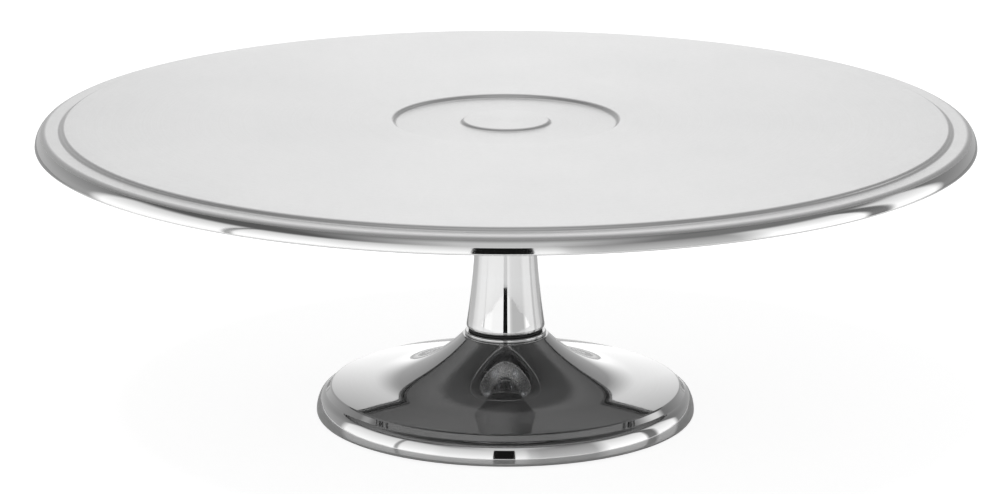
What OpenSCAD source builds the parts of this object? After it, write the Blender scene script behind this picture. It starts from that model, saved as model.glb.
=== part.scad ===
// Low pedestal cake turntable: a pressed plate that turns on two ball bearings inside a turned stem,
// bolted through a bell-shaped base shell to a cast weight.
// The origin is on the table, under the middle of the stem. +Z is up and is the axis of rotation.

/* [Plate] */
// Diameter over the turned-down rim
plate_d = 310; // [290:1:330]
// Height of the top face above the table
plate_h = 101.6; // [99:0.2:112]
// Thickness of the pressed sheet
plate_t = 1.2; // [1:0.1:1.4]
// Diameter of the flat top, at the middle of the bend that ends it
top_d = 292.6; // [280:0.1:294]
// Drop from the flat top to the land around it
top_drop = 1.2; // [0.8:0.1:1.6]
// Diameter of the shallow recess in the middle
recess_d = 74; // [66:1:90]
// Depth of the recess
recess_depth = 1.2; // [0.8:0.1:1.4]
// Diameter of the raised boss inside the recess
boss_d = 29; // [26:0.5:32]
// Height of the boss above the floor of the recess
boss_rise = 0.8; // [0.4:0.1:1]

/* [Stem] */
// Diameter of the straight upper part
stem_d = 20.2; // [20.1:0.1:22]
// Height above the table at which the flare begins
flare_h = 69.8; // [65:0.2:73]
// Radius of the concave flare
flare_r = 250; // [240:1:320]
// Gap between the plate's top face and the top of the stem
stem_below = 13; // [12.5:0.1:14]

/* [Base] */
// Diameter over the rolled edge
base_d = 126.8; // [125:0.1:130]
// Thickness of the spun shell
shell_t = 1; // [0.8:0.1:1.1]
// Radius of the bell's concave sweep
bell_r = 50; // [48:0.5:52]
// Height of the bell's top above the table
bell_h = 28; // [27.6:0.1:28.4]
// Height of the shoulder above the table
shoulder_h = 10.5; // [10.2:0.1:10.8]
// Thickness of the rubber foot
foot_t = 2; // [2:0.1:2.2]

/* [Hub] */
// Diameter of the flange under the plate
flange_d = 50; // [48:1:56]
// Thickness of the flange
flange_t = 4; // [3.5:0.1:4.5]
// Number of studs that hold the plate to the flange
stud_count = 4; // [3:1:6]
// Diameter of the circle of studs
stud_circle_d = 36; // [35:0.5:38]

/* [Hidden] */
$fn = 96;
cut = 0.5; // how far a cutting solid runs past the face it opens

// Plate
plate_r = plate_d / 2;
plate_bend = 1.5;
rim_shoulder_r = 3;
rim_wall_r = 6;
rim_edge_r = 0.5;
rim_turn = 45; // slope at which the shoulder bend becomes the rim's wall
rim_end = 4; // how far the wall stops short of vertical
floor_z = plate_h - recess_depth;

// Hub, from the underside of the recess downwards
flange_top = floor_z - plate_t;
flange_z = flange_top - flange_t;
hub_boss_r = 7;
hub_nose_r = 5.2;
stem_top = plate_h - stem_below;
collar_z = stem_top + 0.4;
collar_r = 9;
spindle_top = flange_top - 1.2;

// M4 hardware of the hub and of the bottom cover
m4_r = 2;
m4_nut_across = 7;
m4_nut_h = 3.2;
m4_washer_r = 4.5;
m4_washer_t = 0.8;
stud_len = 10;

// Ball bearings, 8 x 16 x 5
bore_r = 4;
race_r = 8;
bearing_w = 5;
race_wall = 1.2;
ball_r = 1;
ball_count = 9;
ball_play = 0.05;
pitch_r = (bore_r + race_r) / 2;
cage_r = 0.5; // half the cage's radial thickness
cage_h = 3.2;
shield_t = 0.3;
upper_bearing_z = stem_top - 1.5 - bearing_w;
lower_bearing_z = upper_bearing_z - 28.5 - bearing_w;
inner_race_r = bore_r + race_wall;
outer_race_r = race_r - race_wall;
clip_t = 0.8;
spindle_end = lower_bearing_z - 3.4;

// Base, from the table upwards
base_r = base_d / 2;
edge_z = 2.2; // height at which the rolled rim is widest
rim_side_r = 9.9;
rim_top_r = 3.2;
rim_curl_r = 1.4;
shoulder_bend = 1.2;
groove_bend = 0.9;
neck_bend = 1.2;
crown_r = 330;
foot_slope = 7.8;
crown_slope = 10.3;
wall_slope = 50;
rim_slope = 20;
side_slope = 62;
cover_t = 1;
cover_z = foot_t;
cover_r = base_r - 3.7;
weight_z = cover_z + cover_t;
weight_gap = 0.6;

// Stack of the joint between base and stem
neck_ring_t = 1.3;
neck_ring_r = 13.6;
gasket_t = 0.8;
gasket_r = 12.4;
ring_top = bell_h + neck_ring_t;
stem_foot = ring_top + gasket_t;
stem_edge_bend = 1.3;
plug_r = 9;
plug_z = stem_foot + 0.5;
plug_h = 11.6;
m8_r = 4;
m8_head_across = 13;
m8_head_h = 5.3;
m8_washer_r = 8;
m8_washer_t = 1.6;
m8_spring_r = 7;
m8_spring_t = 2;
bolt_seat_z = 12.8;
bolt_pocket_r = 10;
bolt_tip = stem_foot + 9.6;
bolt_hole_r = 4.4;

// Bottom cover
screw_count = 3;
screw_circle_r = 34;
screw_head_r = 3.6;
screw_head_h = 1.6;
screw_len = 7;
foot_inner_r = 47;
foot_groove_w = 1.2;
foot_groove_depth = 0.8;

// A bend of a sheet's upper line is [centre_r, centre_z, radius, start, end] with angles in degrees.
// Going outwards, a falling angle is a convex bend and a rising angle is a concave one.
// The same bend, drawn at a depth below the upper line, keeps its centre and changes its radius.
function bend_points(b, depth = 0, steps = 10) =
    let (r = b[2] - depth * sign(b[3] - b[4]))
    [for (i = [0:steps]) let (a = b[3] + (b[4] - b[3]) * i / steps) [b[0] + r * cos(a), b[1] + r * sin(a)]];

function line_points(bends, depth = 0, steps = 10) = [for (b = bends) each bend_points(b, depth, steps)];

function reversed(points) = [for (i = [len(points) - 1:-1:0]) points[i]];

// Two equal bends that take a flat sheet from height z to z + rise, centred on radius r.
function step_bends(r, z, rise, bend) =
    let (
        a = acos(1 - abs(rise) / (2 * bend)),
        up = sign(rise),
        half = bend * sin(a)
    )
    [
        [r - half, z + up * bend, bend, -up * 90, -up * (90 - a)],
        [r + half, z + rise - up * bend, bend, up * (90 + a), up * 90]
    ];

module tube(outer, inner, z0, z1) {
    translate([0, 0, z0]) difference() {
        cylinder(h = z1 - z0, r = outer);
        translate([0, 0, -cut]) cylinder(h = z1 - z0 + 2 * cut, r = inner);
    }
}

module rod(r, z0, z1) {
    translate([0, 0, z0]) cylinder(h = z1 - z0, r = r);
}

module hex(across, z0, z1) {
    translate([0, 0, z0]) cylinder(h = z1 - z0, r = across / 2 / cos(30), $fn = 6);
}

module around(count, r) {
    for (i = [0:count - 1]) rotate(i * 360 / count + 45) translate([r, 0, 0]) children();
}

// Turning plate: flat top with a boss in a recess, a bend down to a land, and a rim turned down.
rim_wall_x = plate_r - rim_edge_r - (rim_wall_r - rim_edge_r) * cos(rim_end);
rim_shoulder_c = [
    rim_wall_x + (rim_wall_r - rim_shoulder_r) * sin(rim_turn),
    plate_h - top_drop - rim_shoulder_r
];
rim_wall_c = [rim_wall_x, rim_shoulder_c.y - (rim_wall_r - rim_shoulder_r) * cos(rim_turn)];
rim_edge_c = rim_wall_c + (rim_wall_r - rim_edge_r) * [cos(rim_end), sin(rim_end)];
plate_bends = [
    each step_bends(boss_d / 2, floor_z + boss_rise, -boss_rise, plate_bend),
    each step_bends(recess_d / 2, floor_z, recess_depth, plate_bend),
    each step_bends(top_d / 2, plate_h, -top_drop, plate_bend),
    [rim_shoulder_c.x, rim_shoulder_c.y, rim_shoulder_r, 90, 90 - rim_turn],
    [rim_wall_c.x, rim_wall_c.y, rim_wall_r, 90 - rim_turn, rim_end]
];

module turntable_plate() {
    edge = bend_points([rim_edge_c.x, rim_edge_c.y, rim_edge_r, rim_end, -90]);
    lower = line_points(plate_bends, plate_t);
    boss_z = floor_z + boss_rise;
    color("gainsboro") rotate_extrude() polygon([
        [0, boss_z], each line_points(plate_bends), each edge,
        [lower[len(lower) - 1].x, rim_edge_c.y - rim_edge_r], each reversed(lower), [0, boss_z - plate_t]
    ]);
}

// Flange under the plate, with a boss inside the collar and a nose that rests on the upper bearing.
module hub_flange() {
    edge = 0.8;
    color("silver") difference() {
        rotate_extrude() polygon([
            [bore_r, flange_top], [flange_d / 2, flange_top], [flange_d / 2, flange_z + edge],
            [flange_d / 2 - edge, flange_z], [hub_boss_r, flange_z], [hub_boss_r, collar_z],
            [hub_nose_r, collar_z], [hub_nose_r, upper_bearing_z + bearing_w],
            [bore_r, upper_bearing_z + bearing_w]
        ]);
        around(stud_count, stud_circle_d / 2) rod(m4_r + 0.25, flange_z - cut, flange_top + cut);
    }
}

module hub_studs() {
    color("silver") around(stud_count, stud_circle_d / 2) {
        rod(m4_r, flange_top - stud_len + 0.5, flange_top);
        translate([0, 0, flange_top - stud_len]) cylinder(h = 0.5, r1 = m4_r - 0.5, r2 = m4_r);
    }
}

module hub_washers() {
    color("silver") around(stud_count, stud_circle_d / 2)
        tube(m4_washer_r, m4_r + 0.15, flange_z - m4_washer_t, flange_z);
}

module hub_nuts() {
    top = flange_z - m4_washer_t;
    color("silver") around(stud_count, stud_circle_d / 2) difference() {
        intersection() {
            hex(m4_nut_across, top - m4_nut_h, top);
            translate([0, 0, top - m4_nut_h]) cylinder(h = m4_nut_h, r1 = m4_nut_across / 2,
                r2 = m4_nut_across / 2 + m4_nut_h);
        }
        rod(m4_r, top - m4_nut_h - cut, top + cut);
    }
}

// Black sleeve on the hub's boss that closes the gap above the stem.
module neck_collar() {
    edge = 0.6;
    color("dimgray") rotate_extrude() polygon([
        [hub_boss_r, flange_z], [collar_r - edge, flange_z], [collar_r, flange_z - edge],
        [collar_r, collar_z + edge], [collar_r - edge, collar_z], [hub_boss_r, collar_z]
    ]);
}

module spindle() {
    edge = 0.6;
    clip_top = lower_bearing_z - 0.7;
    color("silver") rotate_extrude() polygon([
        [0, spindle_top], [bore_r - edge, spindle_top], [bore_r, spindle_top - edge],
        [bore_r, clip_top], [bore_r - 0.4, clip_top], [bore_r - 0.4, clip_top - clip_t],
        [bore_r, clip_top - clip_t], [bore_r, spindle_end + edge], [bore_r - edge, spindle_end],
        [0, spindle_end]
    ]);
}

module inner_spacer() {
    color("silver") tube(inner_race_r, bore_r, lower_bearing_z + bearing_w, upper_bearing_z);
}

module spindle_washer() {
    color("silver") tube(inner_race_r + 0.3, bore_r, lower_bearing_z - 0.7, lower_bearing_z);
}

// Open retaining ring in the spindle's groove.
module spindle_circlip() {
    z1 = lower_bearing_z - 0.7;
    color("dimgray") difference() {
        tube(inner_race_r + 0.4, bore_r - 0.4, z1 - clip_t, z1);
        translate([0, -1.2, z1 - clip_t - cut]) cube([race_r, 2.4, clip_t + 2 * cut]);
    }
}

// Path of the balls, as a ring that is cut from both races.
module ball_track(z) {
    translate([0, 0, z + bearing_w / 2]) rotate_extrude()
        translate([pitch_r, 0]) circle(r = ball_r + ball_play, $fn = 48);
}

module inner_race(z) {
    color("silver") difference() {
        tube(inner_race_r, bore_r, z, z + bearing_w);
        ball_track(z);
    }
}

module outer_race(z) {
    color("silver") difference() {
        tube(race_r, outer_race_r, z, z + bearing_w);
        ball_track(z);
    }
}

module ball_set(z, r) {
    for (i = [0:ball_count - 1]) rotate(i * 360 / ball_count)
        translate([pitch_r, 0, z + bearing_w / 2]) sphere(r = r, $fn = 48);
}

module bearing_balls(z) {
    color("silver") ball_set(z, ball_r);
}

module bearing_cage(z) {
    middle = z + bearing_w / 2;
    color("tan") difference() {
        tube(pitch_r + cage_r, pitch_r - cage_r, middle - cage_h / 2, middle + cage_h / 2);
        ball_set(z, ball_r + 2 * ball_play);
    }
}

module bearing_shields(z) {
    color("silver") for (low = [z + 0.1, z + bearing_w - 0.1 - shield_t])
        tube(outer_race_r, inner_race_r + 0.3, low, low + shield_t);
}

module upper_inner_race() { inner_race(upper_bearing_z); }
module lower_inner_race() { inner_race(lower_bearing_z); }
module upper_outer_race() { outer_race(upper_bearing_z); }
module lower_outer_race() { outer_race(lower_bearing_z); }
module upper_bearing_cage() { bearing_cage(upper_bearing_z); }
module lower_bearing_cage() { bearing_cage(lower_bearing_z); }
module upper_bearing_balls() { bearing_balls(upper_bearing_z); }
module lower_bearing_balls() { bearing_balls(lower_bearing_z); }
module upper_bearing_shields() { bearing_shields(upper_bearing_z); }
module lower_bearing_shields() { bearing_shields(lower_bearing_z); }

module outer_spacer() {
    color("silver") tube(race_r, outer_race_r, lower_bearing_z + bearing_w, upper_bearing_z);
}

// Open retaining ring above the upper bearing, in a groove of the stem's bore.
module stem_circlip() {
    z0 = upper_bearing_z + bearing_w;
    color("dimgray") difference() {
        tube(race_r + 0.4, outer_race_r, z0, z0 + clip_t);
        translate([0, -1.5, z0 - cut]) cube([race_r + 1, 3, clip_t + 2 * cut]);
    }
}

// Turned stem: straight above, flared below, with a rounded bottom edge. The flare is one long arc.
flare_c = [stem_d / 2 + flare_r, flare_h];
flare_turn = asin((flare_h - stem_foot - stem_edge_bend) / (flare_r + stem_edge_bend));
stem_edge_c = flare_c - (flare_r + stem_edge_bend) * [cos(flare_turn), sin(flare_turn)];

module stem_column() {
    chamfer = 0.7;
    clip_z = upper_bearing_z + bearing_w;
    bore_step = outer_race_r;
    plug_top = plug_z + plug_h + 0.5;
    color("lightgray") rotate_extrude() polygon([
        [race_r, stem_top], [stem_d / 2 - chamfer, stem_top], [stem_d / 2, stem_top - chamfer],
        each bend_points([flare_c.x, flare_c.y, flare_r, 180, 180 + flare_turn], 0, 24),
        each bend_points([stem_edge_c.x, stem_edge_c.y, stem_edge_bend, flare_turn, -90], 0, 10),
        [plug_r, stem_foot], [plug_r, plug_top], [bore_step, plug_top],
        [bore_step, lower_bearing_z], [race_r, lower_bearing_z], [race_r, clip_z],
        [race_r + 0.4, clip_z], [race_r + 0.4, clip_z + clip_t], [race_r, clip_z + clip_t]
    ]);
}

module stem_plug() {
    color("silver") tube(plug_r, m8_r, plug_z, plug_z + plug_h);
}

module stem_gasket() {
    color("dimgray") tube(gasket_r, bolt_hole_r, ring_top, stem_foot);
}

module neck_ring() {
    edge = 0.45;
    color("lightgray") rotate_extrude() polygon([
        [bolt_hole_r, bell_h], each reversed([
            each bend_points([neck_ring_r - edge, ring_top - edge, edge, 90, 0]),
            each bend_points([neck_ring_r - edge, bell_h + edge, edge, 0, -90])
        ]), [bolt_hole_r, ring_top]
    ]);
}

// Base shell: a flat top under the neck ring, a bell, a shoulder, and a rim curled under.
// It is worked out from the rim inwards. A slope is the surface's fall outwards, in degrees.
// The bell is a concave sweep from the neck that turns into a slight crown before the shoulder.
function on_bend(c, r, slope) = c + r * [sin(slope), cos(slope)];
rim_side_c = [base_r - rim_side_r, edge_z];
rim_top_c = on_bend(rim_side_c, rim_side_r - rim_top_r, side_slope);
groove_c = on_bend(rim_top_c, rim_top_r + groove_bend, rim_slope);
wall_foot = on_bend(groove_c, -groove_bend, wall_slope);
wall_len = (shoulder_h - shoulder_bend + shoulder_bend * cos(wall_slope) - wall_foot.y) / sin(wall_slope);
wall_top = wall_foot + wall_len * [-cos(wall_slope), sin(wall_slope)];
shoulder_c = on_bend(wall_top, -shoulder_bend, wall_slope);
crown_c = on_bend(shoulder_c, shoulder_bend - crown_r, crown_slope);
bell_c = on_bend(crown_c, crown_r + bell_r, foot_slope);
neck_slope = acos((bell_c.y - bell_h + neck_bend) / (bell_r + neck_bend));
neck_c = on_bend(bell_c, -bell_r - neck_bend, neck_slope);
shell_bends = [
    [neck_c.x, neck_c.y, neck_bend, 90, 90 - neck_slope],
    [bell_c.x, bell_c.y, bell_r, 270 - neck_slope, 270 - foot_slope],
    [crown_c.x, crown_c.y, crown_r, 90 - foot_slope, 90 - crown_slope],
    [shoulder_c.x, shoulder_c.y, shoulder_bend, 90 - crown_slope, 90 - wall_slope],
    [groove_c.x, groove_c.y, groove_bend, 270 - wall_slope, 270 - rim_slope],
    [rim_top_c.x, rim_top_c.y, rim_top_r, 90 - rim_slope, 90 - side_slope],
    [rim_side_c.x, rim_side_c.y, rim_side_r, 90 - side_slope, 0],
    [base_r - rim_curl_r, edge_z, rim_curl_r, 0, -90]
];

module base_shell() {
    color("lightgray") rotate_extrude() polygon([
        [bolt_hole_r, bell_h], each line_points(shell_bends),
        each reversed(line_points(shell_bends, shell_t)), [bolt_hole_r, bell_h - shell_t]
    ]);
}

// Cast weight that fills the bell, with a pocket for the head of the tie bolt.
module base_weight() {
    sweep = line_points([
        [bell_c.x, bell_c.y, bell_r, 270 - neck_slope, 270 - foot_slope],
        [crown_c.x, crown_c.y, crown_r, 90 - foot_slope, 90 - (foot_slope + crown_slope) / 2]
    ], shell_t + weight_gap);
    side_r = sweep[len(sweep) - 1].x;
    top_r = sweep[0].x - (bell_h - shell_t - sweep[0].y) / tan(neck_slope);
    color("dimgray") difference() {
        rotate_extrude() polygon([
            [bolt_hole_r, weight_z], [bolt_hole_r, bell_h - shell_t], [top_r, bell_h - shell_t],
            each sweep, [side_r, weight_z]
        ]);
        rod(bolt_pocket_r, weight_z - cut, bolt_seat_z);
        around(screw_count, screw_circle_r) rod(m4_r, weight_z - cut, cover_z + screw_len + 0.3);
    }
}

module tie_bolt() {
    head_top = bolt_seat_z - m8_washer_t - m8_spring_t;
    color("silver") {
        rod(m8_r, head_top - cut, bolt_tip);
        intersection() {
            hex(m8_head_across, head_top - m8_head_h, head_top);
            translate([0, 0, head_top - m8_head_h]) cylinder(h = m8_head_h, r1 = m8_head_across / 2,
                r2 = m8_head_across / 2 + m8_head_h);
        }
    }
}

module tie_spring_washer() {
    z1 = bolt_seat_z - m8_washer_t;
    color("dimgray") difference() {
        tube(m8_spring_r, m8_r + 0.2, z1 - m8_spring_t, z1);
        translate([m8_r + 1, 0, z1 - m8_spring_t / 2]) rotate([35, 0, 0]) cube([8, 0.8, 8], center = true);
    }
}

module tie_washer() {
    color("silver") tube(m8_washer_r, m8_r + 0.2, bolt_seat_z - m8_washer_t, bolt_seat_z);
}

module base_cover() {
    color("gray") difference() {
        rod(cover_r, cover_z, weight_z);
        around(screw_count, screw_circle_r) rod(m4_r + 0.25, cover_z - cut, weight_z + cut);
    }
}

// Pan-head screws with a cross recess, heads downwards.
module cover_screws() {
    recess = [screw_head_r * 1.1, 0.9, 2 * 0.9];
    low = cover_z - screw_head_h;
    color("silver") around(screw_count, screw_circle_r) difference() {
        union() {
            rod(m4_r, cover_z - cut, cover_z + screw_len);
            translate([0, 0, low]) cylinder(h = screw_head_h / 2, r1 = screw_head_r - 0.8, r2 = screw_head_r);
            rod(screw_head_r, low + screw_head_h / 2, cover_z);
        }
        for (a = [0, 90]) rotate(a) translate([0, 0, low]) cube(recess, center = true);
    }
}

module foot_ring() {
    groove_step = (cover_r - foot_inner_r) / 4;
    color("dimgray") difference() {
        tube(cover_r, foot_inner_r, 0, foot_t);
        for (i = [1:3]) {
            r = foot_inner_r + i * groove_step;
            tube(r + foot_groove_w / 2, r - foot_groove_w / 2, -cut, foot_groove_depth);
        }
    }
}

turntable_plate();
hub_flange();
hub_studs();
hub_washers();
hub_nuts();
neck_collar();
spindle();
inner_spacer();
spindle_washer();
spindle_circlip();
upper_inner_race();
lower_inner_race();
upper_bearing_cage();
upper_bearing_balls();
lower_bearing_cage();
lower_bearing_balls();
upper_outer_race();
lower_outer_race();
upper_bearing_shields();
lower_bearing_shields();
outer_spacer();
stem_circlip();
stem_column();
stem_plug();
stem_gasket();
neck_ring();
base_shell();
base_weight();
tie_bolt();
tie_spring_washer();
tie_washer();
base_cover();
cover_screws();
foot_ring();
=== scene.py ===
# Cake turntable: high-resolution lathed pieces, procedural metals, a lit white table and studio cards.
# Everything is in metres, in the CAD frame: the origin is on the table under the stem, and +Z is up.
from functools import partial
from math import acos, asin, cos, degrees, pi, radians, sin, sqrt

import bmesh
import bpy
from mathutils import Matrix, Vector


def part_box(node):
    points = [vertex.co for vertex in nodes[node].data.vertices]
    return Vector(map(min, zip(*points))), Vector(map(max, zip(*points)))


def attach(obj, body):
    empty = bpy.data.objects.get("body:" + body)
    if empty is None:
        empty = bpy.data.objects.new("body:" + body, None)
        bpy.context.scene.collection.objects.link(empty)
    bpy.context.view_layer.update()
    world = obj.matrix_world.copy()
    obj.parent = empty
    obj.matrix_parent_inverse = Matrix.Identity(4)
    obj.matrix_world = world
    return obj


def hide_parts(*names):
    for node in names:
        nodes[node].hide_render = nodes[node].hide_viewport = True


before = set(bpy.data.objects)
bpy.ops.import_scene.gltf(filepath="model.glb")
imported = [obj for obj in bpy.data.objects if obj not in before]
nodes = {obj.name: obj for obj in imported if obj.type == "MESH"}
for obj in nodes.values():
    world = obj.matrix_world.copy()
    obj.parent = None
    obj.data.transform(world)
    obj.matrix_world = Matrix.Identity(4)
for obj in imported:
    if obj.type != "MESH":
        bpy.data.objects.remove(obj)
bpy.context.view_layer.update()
scene = bpy.context.scene
MM = 0.001


# ---------------------------------------------------------------- camera

CAMERA_DISTANCE = 1.35
CAMERA_ELEVATION = 14.55
CAMERA_AIM = (-1.9 * MM, 0, 57.7 * MM)
CAMERA_ROLL = 0.1
LENS, SENSOR_WIDTH = 145.9, 36
NEAREST, FARTHEST = 0.05, 60


def make_camera():
    """The main view: level with the front, a little above the plate."""
    data = bpy.data.cameras.new("camera")
    data.lens, data.sensor_width = LENS, SENSOR_WIDTH
    data.clip_start, data.clip_end = NEAREST, FARTHEST
    camera = bpy.data.objects.new("camera", data)
    scene.collection.objects.link(camera)
    e = radians(CAMERA_ELEVATION)
    back = Vector((0, -cos(e), sin(e)))
    camera.location = Vector(CAMERA_AIM) + back * CAMERA_DISTANCE
    camera.rotation_euler = (-back).to_track_quat("-Z", "Y").to_euler()
    camera.rotation_euler.rotate_axis("Z", radians(CAMERA_ROLL))
    scene.camera = camera


# ---------------------------------------------------------------- outlines
# A bend is (centre_r, centre_z, radius, start, end) in mm and degrees, as in the CAD source.
# Going outwards, a falling angle is a convex bend. A depth moves the line into the sheet.

LONGEST_CHORD = 2.0


def bend_points(bend, depth=0.0, step=2.0):
    """Points along a bend, at most step degrees and LONGEST_CHORD mm apart."""
    centre_r, centre_z, radius, start, end = bend
    r = radius - depth if start > end else radius + depth
    turn = abs(end - start)
    count = max(4, round(turn / step), round(radius * radians(turn) / LONGEST_CHORD))
    angles = [radians(start + (end - start) * i / count) for i in range(count + 1)]
    return [(centre_r + r * cos(a), centre_z + r * sin(a)) for a in angles]


def line_points(bends, depth=0.0, step=2.0):
    """Points along a chain of bends, which straight stretches join."""
    return [p for b in bends for p in bend_points(b, depth, step)]


def step_bends(r, z, rise, bend):
    """Two bends that take a level line at z up or down by rise, around r."""
    a = acos(1 - abs(rise) / (2 * bend))
    up = 1 if rise > 0 else -1
    half = bend * sin(a)
    steepest = degrees(a)
    return [
        (r - half, z + up * bend, bend, -up * 90, -up * (90 - steepest)),
        (r + half, z + rise - up * bend, bend, up * (90 + steepest), up * 90),
    ]


def on_bend(centre, radius, slope):
    """The point of a bend where the line falls outwards at slope degrees."""
    return (centre[0] + radius * sin(radians(slope)), centre[1] + radius * cos(radians(slope)))


def spaced(points, longest):
    """The same outline, with points added so that no straight stretch is longer than longest."""
    out = [points[0]]
    for p in points[1:]:
        q = out[-1]
        length = sqrt((p[0] - q[0]) ** 2 + (p[1] - q[1]) ** 2)
        if length < 1e-6:
            continue
        count = max(1, int(length / longest))
        out += [(q[0] + (p[0] - q[0]) * i / count, q[1] + (p[1] - q[1]) * i / count)
                for i in range(1, count + 1)]
    return out


# ---------------------------------------------------------------- meshes

def finished(name, bm):
    """The bmesh as an object in the scene."""
    mesh = bpy.data.meshes.new(name)
    bm.to_mesh(mesh)
    bm.free()
    piece = bpy.data.objects.new(name, mesh)
    scene.collection.objects.link(piece)
    return piece


def lathe(name, outline, segments, closed=True, material_of=None, sharp=30):
    """Turns an outline of (r, z) points, in mm, about Z.

    material_of(k) is the material of its k-th stretch, and edges that bend by over sharp degrees stay crisp.
    """
    bm = bmesh.new()
    rings = []
    for r, z in outline:
        if r < 1e-6:
            rings.append([bm.verts.new((0, 0, z * MM))])
        else:
            rings.append([bm.verts.new((r * MM * cos(2 * pi * i / segments),
                                        r * MM * sin(2 * pi * i / segments), z * MM))
                          for i in range(segments)])
    pairs = list(zip(range(len(rings) - 1), range(1, len(rings))))
    if closed:
        pairs.append((len(rings) - 1, 0))
    for k, (ia, ib) in enumerate(pairs):
        a, b = rings[ia], rings[ib]
        if len(a) == 1 and len(b) == 1:
            continue
        for i in range(segments):
            j = (i + 1) % segments
            if len(a) == 1:
                quad = (a[0], b[j], b[i])
            elif len(b) == 1:
                quad = (a[i], a[j], b[0])
            else:
                quad = (a[i], a[j], b[j], b[i])
            face = bm.faces.new(quad)
            face.smooth = True
            if material_of:
                face.material_index = material_of(k)
    bmesh.ops.recalc_face_normals(bm, faces=bm.faces)
    limit = radians(sharp)
    for e in bm.edges:
        if len(e.link_faces) == 2 and e.calc_face_angle() > limit:
            e.smooth = False
    return finished(name, bm)


def place(piece, body, materials, replaced):
    """Gives a piece its materials and its body, and hides the CAD nodes that it stands in for."""
    for m in materials:
        piece.data.materials.append(m)
    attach(piece, body)
    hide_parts(*replaced)


# ---------------------------------------------------------------- materials
# Every look is worked out from object coordinates, in metres, so that its grain keeps its real size.

class Look:
    """A Principled material and short ways to add nodes to it."""

    def __init__(self, name, colour, metallic, roughness, **sockets):
        self.material = bpy.data.materials.new(name)
        self.material.use_nodes = True
        self.tree = self.material.node_tree
        self.bsdf = self.tree.nodes["Principled BSDF"]
        self.set(self.bsdf, Base_Color=(*colour, 1), Metallic=metallic, Roughness=roughness, **sockets)
        self.position = self.add("ShaderNodeTexCoord").outputs["Object"]

    def set(self, node, **sockets):
        for key, value in sockets.items():
            node.inputs[key.replace("_", " ")].default_value = value

    def add(self, kind, sources=(), **settings):
        node = self.tree.nodes.new(kind)
        for key, value in settings.items():
            if key[0].isupper():
                node.inputs[key.replace("_", " ")].default_value = value
            else:
                setattr(node, key, value)
        for socket, source in dict(sources).items():
            self.tree.links.new(source, node.inputs[socket])
        return node

    def math(self, operation, *values):
        node = self.add("ShaderNodeMath", operation=operation)
        for socket, value in zip(node.inputs, values):
            if isinstance(value, (int, float)):
                socket.default_value = value
            else:
                self.tree.links.new(value, socket)
        return node.outputs[0]

    def blend(self, *parts):
        """The sum of values, each times its weight."""
        total = 0.0
        for value, weight in parts:
            total = self.math("MULTIPLY_ADD", value, weight, total)
        return total

    def radius(self):
        """The distance from the turning axis."""
        flat = self.add("ShaderNodeVectorMath", {0: self.position}, operation="MULTIPLY")
        flat.inputs[1].default_value = (1, 1, 0)
        return self.add("ShaderNodeVectorMath", {0: flat.outputs[0]}, operation="LENGTH").outputs["Value"]

    def noise(self, scale, detail, roughness):
        return self.add("ShaderNodeTexNoise", {"Vector": self.position}, Scale=scale, Detail=detail,
                        Roughness=roughness).outputs[0]

    def lines(self, value, scale, detail):
        """Fine uneven lines across a single value, such as the radius."""
        return self.add("ShaderNodeTexNoise", {"W": value}, noise_dimensions="1D", Scale=scale,
                        Detail=detail).outputs[0]

    def between(self, value, low, high, start=0.3, end=0.7):
        """A noise's usual spread, start to end, taken to low to high."""
        return self.add("ShaderNodeMapRange", {"Value": value}, From_Min=start, From_Max=end, To_Min=low,
                        To_Max=high).outputs[0]

    def tint(self, value, low, high, start=0.3, end=0.7):
        """Base colour between two colours."""
        ramp = self.add("ShaderNodeValToRGB", {0: value})
        first, last = ramp.color_ramp.elements
        first.position, last.position = start, end
        first.color, last.color = (*low, 1), (*high, 1)
        self.drive("Base Color", ramp.outputs[0])

    def drive(self, socket, value):
        self.tree.links.new(value, self.bsdf.inputs[socket])

    def bump(self, height, distance, strength=1.0, before=None):
        sources = {"Height": height}
        if before:
            sources["Normal"] = before
        node = self.add("ShaderNodeBump", sources, Distance=distance, Strength=strength)
        self.drive("Normal", node.outputs[0])
        return node.outputs[0]


def grey(v, warm=0.0):
    """A grey, a little towards yellow or, with warm below 0, towards blue."""
    return (v * (1 + warm), v, v * (1 - warm))


def shifted(colour, amount):
    """A colour made lighter or darker."""
    return tuple(min(1.0, max(0.0, c + amount)) for c in colour)


# In the three kinds of look below, rough is the lowest and highest roughness, depths are in mm,
# and blotch or spots is how far the colour strays either way.

def spun_steel(name, value, rough, line_depth, blotch, anisotropy=0.0):
    """Stainless sheet or bar with concentric lines about Z."""
    look = Look(name, grey(value), 1, sum(rough) / 2, Anisotropic=anisotropy)
    radius = look.radius()
    fine, coarse = look.lines(radius, 9000, 4), look.lines(radius, 1400, 3)
    cloud = look.noise(28, 3, 0.6)
    mottle = look.noise(900, 2, 0.6)
    look.tint(look.blend((fine, 0.25), (coarse, 0.5), (cloud, 0.25)),
              grey(value - blotch, 0.002), grey(value + blotch, -0.002), 0.35, 0.65)
    look.drive("Roughness", look.between(look.blend((cloud, 0.3), (mottle, 0.7)), *rough))
    if anisotropy:
        tangent = look.add("ShaderNodeTangent", direction_type="RADIAL", axis="Z")
        look.drive("Tangent", tangent.outputs[0])
    first = look.bump(fine, line_depth * MM)
    look.bump(look.blend((coarse, 1), (mottle, 0.4)), line_depth * 1.5 * MM, before=first)
    return look.material


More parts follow.
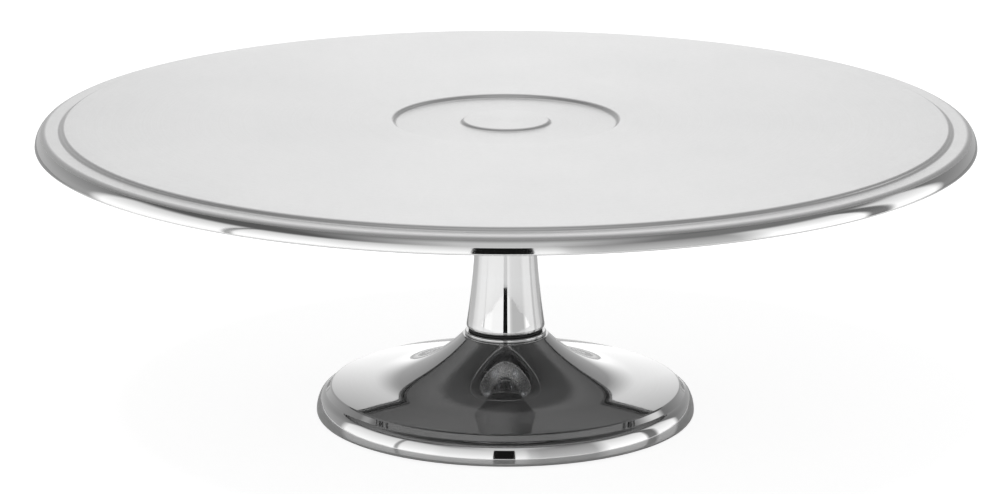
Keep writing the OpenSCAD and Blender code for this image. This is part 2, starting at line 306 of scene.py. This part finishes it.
def milled_steel(name, colour, rough, grain, depth, spots):
    """Plain steel with a fine uneven grain: plated, ground or cast, by its colour and depth."""
    look = Look(name, colour, 1, sum(rough) / 2)
    fine, wide = look.noise(grain, 4, 0.65), look.noise(180, 3, 0.6)
    look.tint(wide, shifted(colour, -spots), shifted(colour, spots))
    look.drive("Roughness", look.between(look.blend((fine, 0.5), (wide, 0.5)), *rough))
    look.bump(fine, depth * MM)
    return look.material


def moulded(name, colour, rough, grain, depth, specular, spots):
    """Rubber, plastic or powder coat: a fine pebbled skin with dull and shiny patches."""
    look = Look(name, colour, 0, sum(rough) / 2, Specular_IOR_Level=specular)
    pebble = look.add("ShaderNodeTexVoronoi", {"Vector": look.position}, Scale=grain).outputs["Distance"]
    wide, fine = look.noise(120, 4, 0.6), look.noise(grain * 2, 2, 0.6)
    look.tint(wide, shifted(colour, -spots), shifted(colour, spots))
    look.drive("Roughness", look.between(wide, *rough))
    first = look.bump(pebble, depth * MM)
    look.bump(fine, depth * 0.5 * MM, 0.6, first)
    return look.material


SATIN = spun_steel("satin_spun_steel", 0.80, (0.31, 0.38), 0.004, 0.012, 0.15)
MIRROR = spun_steel("mirror_steel", 0.63, (0.025, 0.055), 0.00005, 0.008)
LINED = spun_steel("mirror_steel_plate", 0.66, (0.035, 0.07), 0.0001, 0.01)
# The underside's steel colour, 0.25, is painted shade: it darkens what the underside reflects, standing in
# for the shaded table beneath the plate.
UNDER_PAINTED_SHADE = spun_steel("underside_painted_shade", 0.25, (0.10, 0.17), 0.0008, 0.02)
TURNED = spun_steel("turned_steel", 0.56, (0.2, 0.34), 0.003, 0.03, 0.3)
ZINC = milled_steel("zinc_plate", (0.58, 0.585, 0.60), (0.2, 0.38), 2600, 0.004, 0.03)
SPRING = milled_steel("spring_steel", (0.12, 0.125, 0.14), (0.3, 0.45), 2200, 0.003, 0.03)
BEARING = milled_steel("bearing_steel", (0.68, 0.68, 0.69), (0.05, 0.12), 3500, 0.0006, 0.015)
IRON = milled_steel("cast_iron", (0.13, 0.125, 0.12), (0.55, 0.8), 900, 0.12, 0.03)
NYLON = moulded("cage_nylon", (0.66, 0.60, 0.46), (0.4, 0.55), 1800, 0.01, 0.5, 0.03)
BLACK_PLASTIC = moulded("black_plastic", (0.014, 0.014, 0.015), (0.28, 0.42), 2600, 0.006, 0.45, 0.003)
RUBBER = moulded("black_rubber", (0.018, 0.018, 0.018), (0.55, 0.75), 1900, 0.02, 0.35, 0.005)
PAINT = moulded("powder_coat", (0.035, 0.036, 0.038), (0.38, 0.5), 900, 0.03, 0.5, 0.006)


# ---------------------------------------------------------------- plate

def box_mm(node):
    """Half the width, the lowest and the highest height of a CAD node."""
    lo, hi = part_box(node)
    return (hi.x - lo.x) / 2 / MM, lo.z / MM, hi.z / MM


PLATE_T, TOP_DROP, PLATE_BEND = 1.2, 1.2, 1.5
TOP_D, RECESS_D, BOSS_D = 292.6, 74.0, 29.0
RECESS_DEPTH, BOSS_RISE = 1.2, 0.8
RIM_SHOULDER, RIM_WALL, RIM_EDGE, RIM_TURN, RIM_END = 3.0, 6.0, 0.5, 45.0, 4.0


def make_plate():
    """The pressed plate: boss, recess, flat top, step, land and turned-down rim."""
    r, _, top = box_mm("turntable_plate")
    floor = top - RECESS_DEPTH
    turn, end = radians(RIM_TURN), radians(RIM_END)
    wall_r = r - RIM_EDGE - (RIM_WALL - RIM_EDGE) * cos(end)
    shoulder = (wall_r + (RIM_WALL - RIM_SHOULDER) * sin(turn), top - TOP_DROP - RIM_SHOULDER)
    wall = (wall_r, shoulder[1] - (RIM_WALL - RIM_SHOULDER) * cos(turn))
    edge = (wall[0] + (RIM_WALL - RIM_EDGE) * cos(end), wall[1] + (RIM_WALL - RIM_EDGE) * sin(end))
    soft = (step_bends(BOSS_D / 2, floor + BOSS_RISE, -BOSS_RISE, PLATE_BEND)
            + step_bends(RECESS_D / 2, floor, RECESS_DEPTH, PLATE_BEND)
            + step_bends(TOP_D / 2, top, -TOP_DROP, PLATE_BEND)
            + [(*shoulder, RIM_SHOULDER, 90, 90 - RIM_TURN)])
    rim = (*wall, RIM_WALL, 90 - RIM_TURN, RIM_END)
    satin = spaced([(0, floor + BOSS_RISE)] + line_points(soft, step=3), longest=6)
    polished = line_points([rim, (*edge, RIM_EDGE, RIM_END, -90)], step=3)
    polished = spaced([satin[-1]] + polished, longest=6)[1:]
    under = line_points(soft + [rim], PLATE_T, step=4)[::-1] + [(0, floor + BOSS_RISE - PLATE_T)]
    under = spaced([(under[0][0], edge[1] - RIM_EDGE)] + under, longest=8)

    def part(k):
        """Satin on top, polished on the rim, and the underside, whose dark steel colour is painted shade."""
        if k < len(satin) - 1:
            return 0
        return 1 if k < len(satin) + len(polished) - 1 else 2

    piece = lathe("plate", satin + polished + under, 360, closed=False, material_of=part)
    place(piece, "turntable", [SATIN, LINED, UNDER_PAINTED_SHADE], ["turntable_plate"])


# ---------------------------------------------------------------- stem and base

FLARE_R, FLARE_H, STEM_D, STEM_EDGE, STEM_LIP = 250.0, 69.8, 20.2, 1.3, 0.7
STEM_BORE_R, PLUG_R, PLUG_H = 8.0, 9.0, 12.0
BOLT_HOLE_R = 4.4


def make_stem():
    """A straight top, a flare that ends in a rounded foot, the bore and the plug's seat."""
    _, foot, top = box_mm("stem_column")
    lip = STEM_D / 2 - STEM_LIP
    flare = (STEM_D / 2 + FLARE_R, FLARE_H)
    a = asin((FLARE_H - foot - STEM_EDGE) / (FLARE_R + STEM_EDGE))
    turn = degrees(a)
    edge = (flare[0] - (FLARE_R + STEM_EDGE) * cos(a), flare[1] - (FLARE_R + STEM_EDGE) * sin(a))
    outline = [(STEM_BORE_R, top), (lip, top)]
    outline += bend_points((lip, top - STEM_LIP, STEM_LIP, 90, 0), step=10)
    outline += bend_points((*flare, FLARE_R, 180, 180 + turn), step=0.4)
    outline += bend_points((*edge, STEM_EDGE, turn, -90), step=6)
    outline += [(PLUG_R, foot), (PLUG_R, foot + PLUG_H), (STEM_BORE_R, foot + PLUG_H)]
    piece = lathe("stem", spaced(outline, longest=6), 192)
    place(piece, "pedestal", [MIRROR], ["stem_column"])


SHELL_T, BELL_R, CROWN_R, EDGE_H, SHOULDER_H = 1.0, 50.0, 330.0, 2.2, 10.5
SIDE_R, TOP_R, CURL_R = 9.9, 3.2, 1.4
SHOULDER_BEND, GROOVE_BEND, NECK_BEND = 1.2, 0.9, 1.2
FOOT_SLOPE, CROWN_SLOPE, WALL_SLOPE, RIM_SLOPE, SIDE_SLOPE = 7.8, 10.3, 50.0, 20.0, 62.0


def shell_bends(r, top):
    """The base shell's bends, worked out from the rim inwards, as in the CAD source."""
    side = (r - SIDE_R, EDGE_H)
    rim_top = on_bend(side, SIDE_R - TOP_R, SIDE_SLOPE)
    groove = on_bend(rim_top, TOP_R + GROOVE_BEND, RIM_SLOPE)
    foot = on_bend(groove, -GROOVE_BEND, WALL_SLOPE)
    steep = radians(WALL_SLOPE)
    wall = (SHOULDER_H - SHOULDER_BEND + SHOULDER_BEND * cos(steep) - foot[1]) / sin(steep)
    wall_top = (foot[0] - wall * cos(steep), foot[1] + wall * sin(steep))
    shoulder = on_bend(wall_top, -SHOULDER_BEND, WALL_SLOPE)
    crown = on_bend(shoulder, SHOULDER_BEND - CROWN_R, CROWN_SLOPE)
    bell = on_bend(crown, CROWN_R + BELL_R, FOOT_SLOPE)
    neck_slope = degrees(acos((bell[1] - top + NECK_BEND) / (BELL_R + NECK_BEND)))
    neck = on_bend(bell, -BELL_R - NECK_BEND, neck_slope)
    return [
        (*neck, NECK_BEND, 90, 90 - neck_slope),
        (*bell, BELL_R, 270 - neck_slope, 270 - FOOT_SLOPE),
        (*crown, CROWN_R, 90 - FOOT_SLOPE, 90 - CROWN_SLOPE),
        (*shoulder, SHOULDER_BEND, 90 - CROWN_SLOPE, 90 - WALL_SLOPE),
        (*groove, GROOVE_BEND, 270 - WALL_SLOPE, 270 - RIM_SLOPE),
        (*rim_top, TOP_R, 90 - RIM_SLOPE, 90 - SIDE_SLOPE),
        (*side, SIDE_R, 90 - SIDE_SLOPE, 0),
        (r - CURL_R, EDGE_H, CURL_R, 0, -90),
    ]


def make_base():
    """The polished shell, from the hole under the stem to the curled foot, and its inside."""
    r, _, top = box_mm("base_shell")
    bends = shell_bends(r, top)
    upper = spaced([(BOLT_HOLE_R, top)] + line_points(bends, step=1.5), longest=1.5)
    lower = line_points(bends, SHELL_T, step=5)[::-1] + [(BOLT_HOLE_R, top - SHELL_T)]
    lower = spaced(lower, longest=5)
    piece = lathe("base_bell", upper + lower, 320)
    place(piece, "pedestal", [MIRROR], ["base_shell"])


NECK_RING_EDGE, GASKET_BULGE = 0.45, 0.35


def make_neck_ring():
    """The thin bright ring on top of the shell, with rounded edges."""
    r, low, top = box_mm("neck_ring")
    e = NECK_RING_EDGE
    outline = [(BOLT_HOLE_R, low), *bend_points((r - e, low + e, e, -90, 0), step=10),
               *bend_points((r - e, top - e, e, 0, 90), step=10), (BOLT_HOLE_R, top)]
    place(lathe("neck_trim", outline, 192), "pedestal", [MIRROR], ["neck_ring"])


def make_gasket():
    """The rubber gasket, squeezed into a slight bulge."""
    r, low, top = box_mm("stem_gasket")
    half = (top - low) / 2
    angles = [radians(t) for t in range(-90, 91, 15)]
    bulge = [(r - GASKET_BULGE * (1 - cos(a)), low + half * (1 + sin(a))) for a in angles]
    outline = [(BOLT_HOLE_R, low)] + bulge + [(BOLT_HOLE_R, top)]
    place(lathe("neck_gasket", outline, 128), "pedestal", [RUBBER], ["stem_gasket"])


COLLAR_EDGE, COLLAR_BORE_R = 0.6, 7.0
GROOVES, GROOVE_START, GROOVE_PITCH, GROOVE_HALF, GROOVE_DEPTH = 3, 1.7, 1.15, 0.18, 0.14


def make_collar():
    """The black sleeve, with softened edges and shallow grooves around it."""
    r, low, top = box_mm("neck_collar")
    e = COLLAR_EDGE
    side = []
    for k in range(GROOVES):
        z = low + GROOVE_START + k * GROOVE_PITCH
        side += [(r, z - GROOVE_HALF), (r - GROOVE_DEPTH, z), (r, z + GROOVE_HALF)]
    outline = ([(COLLAR_BORE_R, low)] + bend_points((r - e, low + e, e, -90, 0), step=15) + side
               + bend_points((r - e, top - e, e, 0, 90), step=15) + [(COLLAR_BORE_R, top)])
    place(lathe("neck_sleeve", outline, 144, sharp=40), "turntable", [BLACK_PLASTIC],
          ["neck_collar"])


STUD_COUNT, STUD_R, STUD_TIP, STUD_NECK = 4, 2.0, 0.5, 0.8
THREAD_PITCH, THREAD_DEPTH = 0.7, 0.34
THREAD_ROWS, THREAD_SIDES = 8, 28


def stud_radius(z, low, top, round_share):
    """The thread's radius at a height, for a point at a share of the way around."""
    if z < top - STUD_NECK:
        turn = (z / THREAD_PITCH - round_share) % 1.0
        depth = THREAD_DEPTH * abs(2 * turn - 1)
    else:
        depth = 0.0
    tip = STUD_TIP * (1 - min(1.0, (z - low) / STUD_TIP))
    return STUD_R - max(depth, tip)


def make_studs():
    """The M4 studs, with a real helical thread, a tapered tip and a plain neck under the plate."""
    lo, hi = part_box("hub_studs")
    low, top = lo.z / MM, hi.z / MM
    reach = sqrt(2) * (hi.x / MM - STUD_R)
    rows = int((top - low) / THREAD_PITCH * THREAD_ROWS)
    bm = bmesh.new()
    for s in range(STUD_COUNT):
        a = radians(45 + 360 / STUD_COUNT * s)
        cx, cy = reach * cos(a), reach * sin(a)
        rings = []
        for k in range(rows + 1):
            z = low + (top - low) * k / rows
            ring = []
            for i in range(THREAD_SIDES):
                q = stud_radius(z, low, top, i / THREAD_SIDES)
                angle = 2 * pi * i / THREAD_SIDES
                ring.append(bm.verts.new(((cx + q * cos(angle)) * MM, (cy + q * sin(angle)) * MM, z * MM)))
            rings.append(ring)
        for ra, rb in zip(rings, rings[1:]):
            for i in range(THREAD_SIDES):
                j = (i + 1) % THREAD_SIDES
                bm.faces.new((ra[i], ra[j], rb[j], rb[i])).smooth = True
        bm.faces.new(rings[0][::-1])
        bm.faces.new(rings[-1])
    place(finished("hub_threads", bm), "turntable", [ZINC], ["hub_studs"])


# ---------------------------------------------------------------- carried-over CAD pieces

LOOKS = {
    "hub_flange": TURNED, "hub_studs": ZINC, "hub_washers": ZINC, "hub_nuts": ZINC,
    "neck_collar": BLACK_PLASTIC, "spindle": TURNED, "inner_spacer": TURNED, "outer_spacer": TURNED,
    "spindle_washer": ZINC, "spindle_circlip": SPRING, "stem_circlip": SPRING,
    "upper_bearing_cage": NYLON, "lower_bearing_cage": NYLON, "stem_plug": TURNED,
    "stem_gasket": RUBBER, "base_weight": IRON, "tie_bolt": ZINC, "tie_washer": ZINC,
    "tie_spring_washer": SPRING, "base_cover": PAINT, "cover_screws": ZINC, "foot_ring": RUBBER,
    "turntable_plate": SATIN, "stem_column": MIRROR, "base_shell": MIRROR, "neck_ring": MIRROR,
}
# Width of the softened edges, in mm.
SOFT_EDGES = {
    "hub_flange": 0.2, "hub_washers": 0.12, "hub_nuts": 0.15, "base_cover": 0.25, "foot_ring": 0.3,
    "cover_screws": 0.1, "tie_bolt": 0.15, "tie_washer": 0.12,
}
SOFTENED_FROM = 35  # degrees between the faces of an edge


def dress():
    """Gives every CAD node its material, and softens the sharp edges of the nodes in SOFT_EDGES."""
    for name, node in nodes.items():
        node.data.materials.clear()
        node.data.materials.append(LOOKS.get(name, BEARING))
        if name in SOFT_EDGES:
            soft = node.modifiers.new("soft_edges", "BEVEL")
            soft.width, soft.segments = SOFT_EDGES[name] * MM, 2
            soft.limit_method, soft.angle_limit = "ANGLE", radians(SOFTENED_FROM)


# ---------------------------------------------------------------- stage

WHITE = (1, 1, 1, 1)


def add_node(tree, kind, *sources, **settings):
    """A new node, whose first sockets take the sources: the output of another node, or a value."""
    node = tree.nodes.new(kind)
    for key, value in settings.items():
        setattr(node, key, value)
    for socket, source in zip(node.inputs, sources):
        if isinstance(source, bpy.types.NodeSocket):
            tree.links.new(source, socket)
        else:
            socket.default_value = source
    return node


def stage_material(name):
    m = bpy.data.materials.new(name)
    m.use_nodes = True
    m.node_tree.nodes.clear()
    return m, m.node_tree, m.node_tree.nodes.new("ShaderNodeOutputMaterial")


def panel(name, size, material):
    """A flat stage sheet, facing up."""
    bm = bmesh.new()
    w, h = size[0] / 2, size[1] / 2
    bm.faces.new([bm.verts.new((x, y, 0)) for x, y in ((-w, -h), (w, -h), (w, h), (-w, h))])
    sheet = finished(name, bm)
    sheet.data.materials.append(material)
    return sheet


# The stage's sizes and places are in metres.
GAP_SIZE, GAP_PLACE, GAP_GLOW = (0.13, 0.33), (-0.007, -0.6, 0.165), 0.01


def make_flag():
    """The dark gap between the studio's two front panels, which the polished pieces reflect."""
    m, tree, out = stage_material("gap_flag")
    glow = add_node(tree, "ShaderNodeEmission", WHITE, GAP_GLOW)
    tree.links.new(glow.outputs[0], out.inputs[0])
    flag = panel("gap_flag", GAP_SIZE, m)
    flag.location = GAP_PLACE
    flag.rotation_euler = (-pi / 2, 0, 0)
    flag.visible_camera = flag.visible_shadow = flag.visible_diffuse = False


TABLE_SIZE, TABLE_DROP = (1.5, 1.5), 0.05 * MM
# The table's colour goes from TABLE_FRONT to TABLE_BACK behind the stem: the fall is painted shade for the
# metal's reflections.
TABLE_FRONT, TABLE_BACK, TABLE_FALL = 0.95, 0.3, 0.35
TABLE_GLOSS, GLOSS_ROUGHNESS = 0.25, 0.05
SEEN_WHITE, SEEN_GLOW = 0.25, 0.9


def make_floor():
    """A white acrylic table. The camera sees it evenly lit, and the metal sees its real light and shade,
    plus painted shade behind the stem.

    What the metal sees is white in front and, behind the stem, its colour falls to TABLE_BACK over
    TABLE_FALL metres, as painted shade.
    """
    m, tree, out = stage_material("table")
    node = partial(add_node, tree)
    spot = node("ShaderNodeSeparateXYZ", node("ShaderNodeNewGeometry").outputs["Position"])
    # Painted shade: the table's colour, which only the metal sees, darkens behind the stem.
    shade = node("ShaderNodeMapRange", spot.outputs["Y"], 0.0, TABLE_FALL, TABLE_FRONT, TABLE_BACK)
    shaded_chalk = node("ShaderNodeBsdfDiffuse", shade.outputs[0])
    gloss = node("ShaderNodeBsdfGlossy", WHITE, GLOSS_ROUGHNESS)
    real = node("ShaderNodeMixShader", TABLE_GLOSS, shaded_chalk.outputs[0], gloss.outputs[0])
    soft = node("ShaderNodeBsdfDiffuse", (SEEN_WHITE, SEEN_WHITE, SEEN_WHITE, 1))
    glow = node("ShaderNodeEmission", WHITE, SEEN_GLOW)
    seen = node("ShaderNodeAddShader", soft.outputs[0], glow.outputs[0])
    ray = node("ShaderNodeLightPath").outputs["Is Camera Ray"]
    pick = node("ShaderNodeMixShader", ray, real.outputs[0], seen.outputs[0])
    tree.links.new(pick.outputs[0], out.inputs[0])
    panel("table", TABLE_SIZE, m).location.z = -TABLE_DROP


# Brightness of the studio walls by compass direction, in degrees to the right of the main camera.
WALLS = [
    (-180, 1.22), (-174, 1.18), (-168, 0.55), (-150, 0.5), (-117, 0.42), (-111, 1.35), (-70, 1.4),
    (-69, 0.5), (-67, 0.5), (-66, 1.4), (-45, 1.4), (-38, 1.3), (4, 1.3), (12, 1.2), (15, 0.85),
    (22, 0.66), (56, 0.66), (66, 1.5), (93, 1.5), (95, 0.25), (102, 0.25), (105, 1.4), (123, 1.35),
    (128, 0.3), (150, 0.42), (166, 0.5), (173, 1.18), (180, 1.22),
]
# Brightness of the ceiling from left to right, by the direction's X.
CEILING = [(-1, 0.14), (-0.6, 0.14), (-0.16, 0.78), (0.14, 0.78), (0.5, 0.26), (1, 0.22)]
# The ceiling takes over from the walls between these heights of the direction, and dims overhead.
CEILING_FROM, CEILING_TO = 0.47, 0.62
OVERHEAD_FROM, OVERHEAD_TO, OVERHEAD = 0.8, 0.96, 0.42
# The walls are brightest at the table and fall off upwards.
WALL_LOW, WALL_HIGH, WALL_BOTTOM, WALL_TOP = 0.03, 0.55, 1.12, 0.64
# A colour ramp stops at 1, so it holds each brightness over this, and the world multiplies it back.
BRIGHTEST = 2.0
# Brightness of the white that the camera sees behind the table.
BACKDROP = 1.05


def make_world():
    """The studio's walls and ceiling, which light the object, and the white that the camera sees."""
    scene.view_settings.view_transform = "Standard"
    world = bpy.data.worlds.new("studio")
    scene.world = world
    world.use_nodes = True
    tree = world.node_tree
    studio = tree.nodes["Background"]
    node = partial(add_node, tree)

    def ramp(value, stops):
        n = node("ShaderNodeValToRGB", value)
        elements = n.color_ramp.elements
        while len(elements) < len(stops):
            elements.new(0.5)
        for e, (at, level) in zip(elements, stops):
            e.position = at
            e.color = (level / BRIGHTEST, level / BRIGHTEST, level / BRIGHTEST, 1)
        return n.outputs[0]

    def times(colour, factor):
        return node("ShaderNodeVectorMath", colour, factor, operation="MULTIPLY").outputs[0]

    way = node("ShaderNodeSeparateXYZ", node("ShaderNodeTexCoord").outputs["Generated"])
    x, y, z = way.outputs
    front = node("ShaderNodeMath", y, -1.0, operation="MULTIPLY").outputs[0]
    turn = node("ShaderNodeMath", x, front, operation="ARCTAN2").outputs[0]
    compass = node("ShaderNodeMath", turn, 1 / (2 * pi), 0.5, operation="MULTIPLY_ADD").outputs[0]
    fall = node("ShaderNodeMapRange", z, WALL_LOW, WALL_HIGH, WALL_BOTTOM, WALL_TOP).outputs[0]
    walls = times(ramp(compass, [(a / 360 + 0.5, v) for a, v in WALLS]), fall)
    across = node("ShaderNodeMath", x, 0.5, 0.5, operation="MULTIPLY_ADD").outputs[0]
    dim = node("ShaderNodeMapRange", z, OVERHEAD_FROM, OVERHEAD_TO, 1.0, OVERHEAD).outputs[0]
    ceiling = times(ramp(across, [(a / 2 + 0.5, v) for a, v in CEILING]), dim)
    height = node("ShaderNodeMapRange", z, CEILING_FROM, CEILING_TO, 0.0, 1.0,
                  interpolation_type="SMOOTHSTEP").outputs[0]
    room = node("ShaderNodeMix", data_type="RGBA")
    for socket, source in ((0, height), (6, walls), (7, ceiling)):
        tree.links.new(source, room.inputs[socket])
    tree.links.new(room.outputs[2], studio.inputs[0])
    studio.inputs[1].default_value = BRIGHTEST
    backdrop = node("ShaderNodeBackground", WHITE, BACKDROP)
    ray = node("ShaderNodeLightPath").outputs["Is Camera Ray"]
    pick = node("ShaderNodeMixShader", ray, studio.outputs[0], backdrop.outputs[0])
    tree.links.new(pick.outputs[0], tree.nodes["World Output"].inputs[0])


KEY_SIZE, KEY_POWER, KEY_PLACE = 0.7, 26, (-0.25, -0.35, 1.7)


def make_key():
    """Soft overhead light for the table and the dull pieces."""
    data = bpy.data.lights.new("overhead", "AREA")
    data.shape, data.size, data.energy = "DISK", KEY_SIZE, KEY_POWER
    lamp = bpy.data.objects.new("overhead", data)
    scene.collection.objects.link(lamp)
    lamp.location = KEY_PLACE
    lamp.rotation_euler = Vector(KEY_PLACE).to_track_quat("Z", "Y").to_euler()
    lamp.visible_glossy = lamp.visible_camera = False


make_camera()
make_plate()
make_studs()
make_collar()
make_stem()
make_base()
make_neck_ring()
make_gasket()
dress()
make_world()
make_floor()
make_flag()
make_key()
